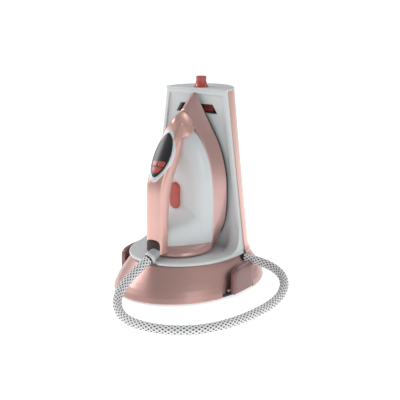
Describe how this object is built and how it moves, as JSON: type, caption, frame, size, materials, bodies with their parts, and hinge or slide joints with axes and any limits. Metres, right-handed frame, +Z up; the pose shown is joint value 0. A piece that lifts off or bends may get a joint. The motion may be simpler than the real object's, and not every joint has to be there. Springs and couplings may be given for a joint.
{
  "type": "clothes iron",
  "caption": "Steam station iron docked upright on its tank stand, with a press lock, handle keys, a steam button and a braided steam hose.",
  "frame": {"origin": "middle of the base on the surface that it stands on", "axes": "+Z up, -Y towards the handle of the docked iron, +X to the viewer's right when facing the handle"},
  "size_m": [0.311, 0.3923, 0.3395],
  "materials": {
    "white_plastic": "satin white moulding",
    "rose_plastic": "rose gold satin lacquer",
    "mauve_lacquer": "mauve metallic lacquer",
    "coral_plastic": "coral red",
    "black_gloss": "black gloss",
    "dark_maroon": "dark maroon",
    "dark_plastic": "dark grey",
    "grey_plastic": "light grey",
    "black_rubber": "matt",
    "steel": "brushed",
    "sole_metal": "polished sole",
    "cast_alloy": "cast",
    "brass": "plain",
    "tank_plastic": "translucent",
    "circuit_board": "solder mask",
    "braid": "white braid with dark flecks"
  },
  "bodies": {
    "stand": {"base_plate": "dark_plastic", "rubber_feet": "black_rubber", "base_screws": "steel", "base_drum": "rose_plastic", "neck_seal": "dark_plastic", "boiler": "cast_alloy", "pump": "grey_plastic", "control_board": "circuit_board", "mains_gland": "dark_plastic", "steam_port": "grey_plastic", "steam_pipe": "brass", "front_shell": "white_plastic", "rear_shell": "rose_plastic", "top_cap": "white_plastic", "hook_guide": "dark_plastic", "water_tank": "tank_plastic", "feed_tube": "black_rubber", "heel_rest": "dark_plastic", "latch_pin_left": "steel", "latch_pin_right": "steel", "knob_spring": "steel", "steam_hose": "braid", "hose_ball": "steel"},
    "iron": {"soleplate": "sole_metal", "heater_casting": "cast_alloy", "heat_skirt": "mauve_lacquer", "body_shell": "white_plastic", "handle_upper": "rose_plastic", "handle_lower": "rose_plastic", "display_bezel": "white_plastic", "display_lens": "black_gloss", "display_screen": "black_gloss", "handle_board": "circuit_board", "key_switches": "dark_plastic", "steam_switch": "dark_plastic", "steam_valve": "brass", "thermostat": "steel", "iron_steam_tube": "black_rubber", "heel_cap": "dark_maroon", "hose_collar": "grey_plastic", "collar_ring": "grey_plastic", "heel_screws": "steel", "heel_plate": "mauve_lacquer", "rear_saddle": "white_plastic"},
    "knob": {"lock_knob": "coral_plastic", "lock_rod": "dark_plastic"},
    "hook": {"lock_hook": "dark_maroon"},
    "key_minus": {"button_minus": "coral_plastic"},
    "key_plus": {"button_plus": "coral_plastic"},
    "key_power": {"button_power": "coral_plastic"},
    "steam_key": {"steam_button": "coral_plastic"},
    "latch_left": {"side_latch_left": "mauve_lacquer"},
    "latch_right": {"side_latch_right": "mauve_lacquer"}
  },
  "joints": [
    {"name": "iron_tilt", "type": "hinge", "parent": "stand", "child": "iron", "pos_m": [0, -0.119, 0.0645], "axis": [1, 0, 0], "range_deg": [0, 24]},
    {"name": "knob_press", "type": "slide", "parent": "stand", "child": "knob", "axis": [0, 0, -1], "range_m": [0, 0.006], "stiffness_N_per_m": 500, "springref_m": -0.004, "deforming": ["knob_spring"]},
    {"name": "hook_draw", "type": "slide", "parent": "stand", "child": "hook", "axis": [0, 1, 0], "range_m": [0, 0.004]},
    {"name": "key_minus_press", "type": "slide", "parent": "iron", "child": "key_minus", "axis": [0, 0.8381, -0.5455], "range_m": [0, 0.001], "stiffness_N_per_m": 600, "springref_m": -0.0006},
    {"name": "key_plus_press", "type": "slide", "parent": "iron", "child": "key_plus", "axis": [0, 0.8381, -0.5455], "range_m": [0, 0.001], "stiffness_N_per_m": 600, "springref_m": -0.0006},
    {"name": "key_power_press", "type": "slide", "parent": "iron", "child": "key_power", "axis": [0, 0.8381, -0.5455], "range_m": [0, 0.001], "stiffness_N_per_m": 600, "springref_m": -0.0006},
    {"name": "steam_press", "type": "slide", "parent": "iron", "child": "steam_key", "axis": [0, 1, 0], "range_m": [0, 0.003], "stiffness_N_per_m": 700, "springref_m": -0.001},
    {"name": "latch_left_swing", "type": "hinge", "parent": "stand", "child": "latch_left", "pos_m": [-0.104, -0.014, 0.012], "axis": [0, -1, 0], "range_deg": [0, 40]},
    {"name": "latch_right_swing", "type": "hinge", "parent": "stand", "child": "latch_right", "pos_m": [0.104, -0.014, 0.012], "axis": [0, 1, 0], "range_deg": [0, 40]}
  ],
  "couplings": [
    {"joint": "hook_draw", "follows": "knob_press", "ratio": 0.6666}
  ]
}
